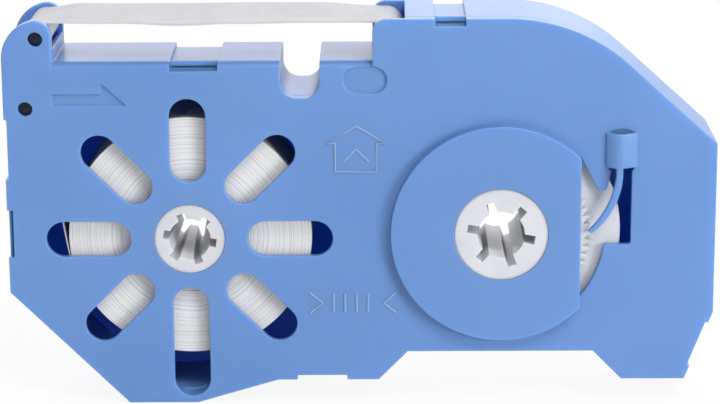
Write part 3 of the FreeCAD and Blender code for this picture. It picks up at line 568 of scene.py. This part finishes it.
def add_marks():
    """An upward frame round a plain chevron, and two chevrons with plain bars between them."""
    frame_line = [
        (-0.63, 39.73), (3.38, 37.3), (2.17, 37.3), (2.17, 33.3),
        (-3.53, 33.3), (-3.53, 37.3), (-4.67, 37.3),
    ]
    chevron = [(-2.35, 34.75), (-0.65, 36.45), (1.05, 34.75)]
    add_ridges("upward_frame", [(frame_line, True), (chevron, False)])
    left = [(-7.2, 16.0), (-5.43, 14.53), (-7.2, 13.1)]
    right = [(4.7, 16.0), (3.01, 14.49), (4.7, 13.1)]
    bars = [([(x, 13.2), (x, 15.9)], False) for x in (-3.9, -2.3, -0.7, 0.9)]
    add_ridges("chevron_bars", [(left, False), (right, False)] + bars)


def seen_rays(tree):
    """One for the rays of the camera, of gloss and of clear materials, nought for the rest."""
    rays = tree.nodes.new("ShaderNodeLightPath")
    either = tree.nodes.new("ShaderNodeMath")
    either.operation = "MAXIMUM"
    tree.links.new(rays.outputs["Is Camera Ray"], either.inputs[0])
    tree.links.new(rays.outputs["Is Glossy Ray"], either.inputs[1])
    both = tree.nodes.new("ShaderNodeMath")
    both.operation = "MAXIMUM"
    tree.links.new(either.outputs[0], both.inputs[0])
    tree.links.new(rays.outputs["Is Transmission Ray"], both.inputs[1])
    return both.outputs[0]


def add_lights():
    """An even pale world that shows as white, and three soft lamps."""
    world = bpy.data.worlds.new("studio")
    scene.world = world
    world.use_nodes = True
    tree = world.node_tree
    fill = tree.nodes["Background"]
    fill.inputs["Color"].default_value = (1.0, 1.0, 1.0, 1)
    fill.inputs["Strength"].default_value = WORLD_FILL
    white = tree.nodes.new("ShaderNodeBackground")
    white.inputs["Strength"].default_value = 1.0
    mixed = tree.nodes.new("ShaderNodeMixShader")
    tree.links.new(seen_rays(tree), mixed.inputs["Fac"])
    tree.links.new(fill.outputs[0], mixed.inputs[1])
    tree.links.new(white.outputs[0], mixed.inputs[2])
    tree.links.new(mixed.outputs[0], tree.nodes["World Output"].inputs["Surface"])
    for lamp in LAMPS:
        add_area(*lamp)


def add_area(name, place, width, power):
    """A square lamp that looks at the middle of the cassette."""
    data = bpy.data.lights.new(name, "AREA")
    data.shape = "SQUARE"
    data.size = width
    data.energy = power
    lamp = bpy.data.objects.new(name, data)
    scene.collection.objects.link(lamp)
    lamp.location = place
    aim = Vector(LAMP_TARGET) - Vector(place)
    lamp.rotation_euler = aim.to_track_quat("-Z", "Y").to_euler()


def add_floor():
    """A white floor that shows as white and still takes a faint shadow."""
    mesh = bpy.data.meshes.new("floor")
    work = bmesh.new()
    bmesh.ops.create_grid(work, x_segments=4, y_segments=4, size=FLOOR_HALF)
    work.to_mesh(mesh)
    work.free()
    floor = bpy.data.objects.new("floor", mesh)
    floor.location.z = cad_box[0][2] - FLOOR_DROP
    scene.collection.objects.link(floor)
    shade = Shade("floor_white")
    shade.shader.inputs["Base Color"].default_value = (0.9, 0.9, 0.9, 1)
    shade.shader.inputs["Roughness"].default_value = 0.9
    glow = shade.node("ShaderNodeEmission", Strength=1.0)
    share = shade.node("ShaderNodeMath", operation="MULTIPLY")
    shade.link(seen_rays(shade.tree), share.inputs[0])
    share.inputs[1].default_value = FLOOR_GLOW
    mixed = shade.node("ShaderNodeMixShader")
    shade.link(share.outputs[0], mixed.inputs["Fac"])
    shade.link(shade.shader.outputs[0], mixed.inputs[1])
    shade.link(glow.outputs[0], mixed.inputs[2])
    shade.link(mixed.outputs[0], shade.output.inputs["Surface"])
    mesh.materials.append(shade.material)


def cover_weight(place):
    """How far an edge of the front cover is rounded, from 0 to 1."""
    x, z = place.x / MM, place.z / MM
    if place.y > FACE_Y + 0.5 * MM:
        return BASE_WEIGHT
    beside = ARROW[0][0] - ARROW_MARGIN < x < ARROW[-1][0] + ARROW_MARGIN
    if beside and ARROW[0][1] - ARROW_MARGIN < z < ARROW[3][1] + ARROW_MARGIN:
        return ARROW_WEIGHT
    if any(math.hypot(x - pin_x, z - pin_z) < PIN_REACH for pin_x, pin_z in PINS):
        return PIN_WEIGHT
    if place.x < EAR_RIGHT and place.z > EAR_LOW:
        return EAR_WEIGHT
    return BASE_WEIGHT


add_camera()
add_lights()
add_floor()
BLUE = case_plastic("case_plastic", (0.112, 0.238, 0.535), (0.126, 0.258, 0.562))
# A lighter copy of the case blue: painted highlight for the rounded edges of blocks and for raised
# lines.
PAINTED_HIGHLIGHT_BLUE = case_plastic("case_plastic_painted_highlight", (0.19, 0.335, 0.66), (0.215, 0.36, 0.69))
WHITE = white_plastic("white_plastic", (0.55, 0.56, 0.59), (0.60, 0.61, 0.64))
# The pin steel is painted nearly black with a navy tint: painted shade and painted dark reflection
# of the pin holes, far darker than bare steel.
STEEL_PAINTED_DARK = pin_steel("pin_steel", (0.018, 0.021, 0.040), (0.030, 0.034, 0.058))
FILM = film_tape()
ROLL = wound_tape("roll_layers", SUPPLY_AXIS)
WRAPS = wound_tape("wrap_layers", TAKE_AXIS)

arrow = [(x * MM, z * MM) for x, z in ARROW]
dress(
    "front_cover", "case", BLUE, COVER_EDGE,
    soft=cover_weight, recesses=[arrow])
dress("rear_shell", "case", BLUE, SHELL_EDGE, pockets=SNAP_POCKETS)
add_side_latch()
add_bridge_throat()
for hub in HUBS:
    add_lip(*hub)
add_marks()
dress("supply_core", "supply_reel", WHITE, REEL_EDGE)
dress("take_up_reel", "take_up", WHITE, REEL_EDGE)
for node in ("high_guide_sleeve", "entry_guide_sleeve"):
    dress(node, node.replace("guide_", ""), WHITE, SLEEVE_EDGE)
for node in ("high_guide_pin", "low_guide_pin"):
    point_end(dress(node, "case", STEEL_PAINTED_DARK, PIN_EDGE))
dress("supply_tape_roll", "supply_reel", ROLL, ROLL_EDGE)
dress("take_up_wraps", "take_up", WRAPS, ROLL_EDGE)
flex_tape(dress("tape_span", "case", FILM, FILM_EDGE))
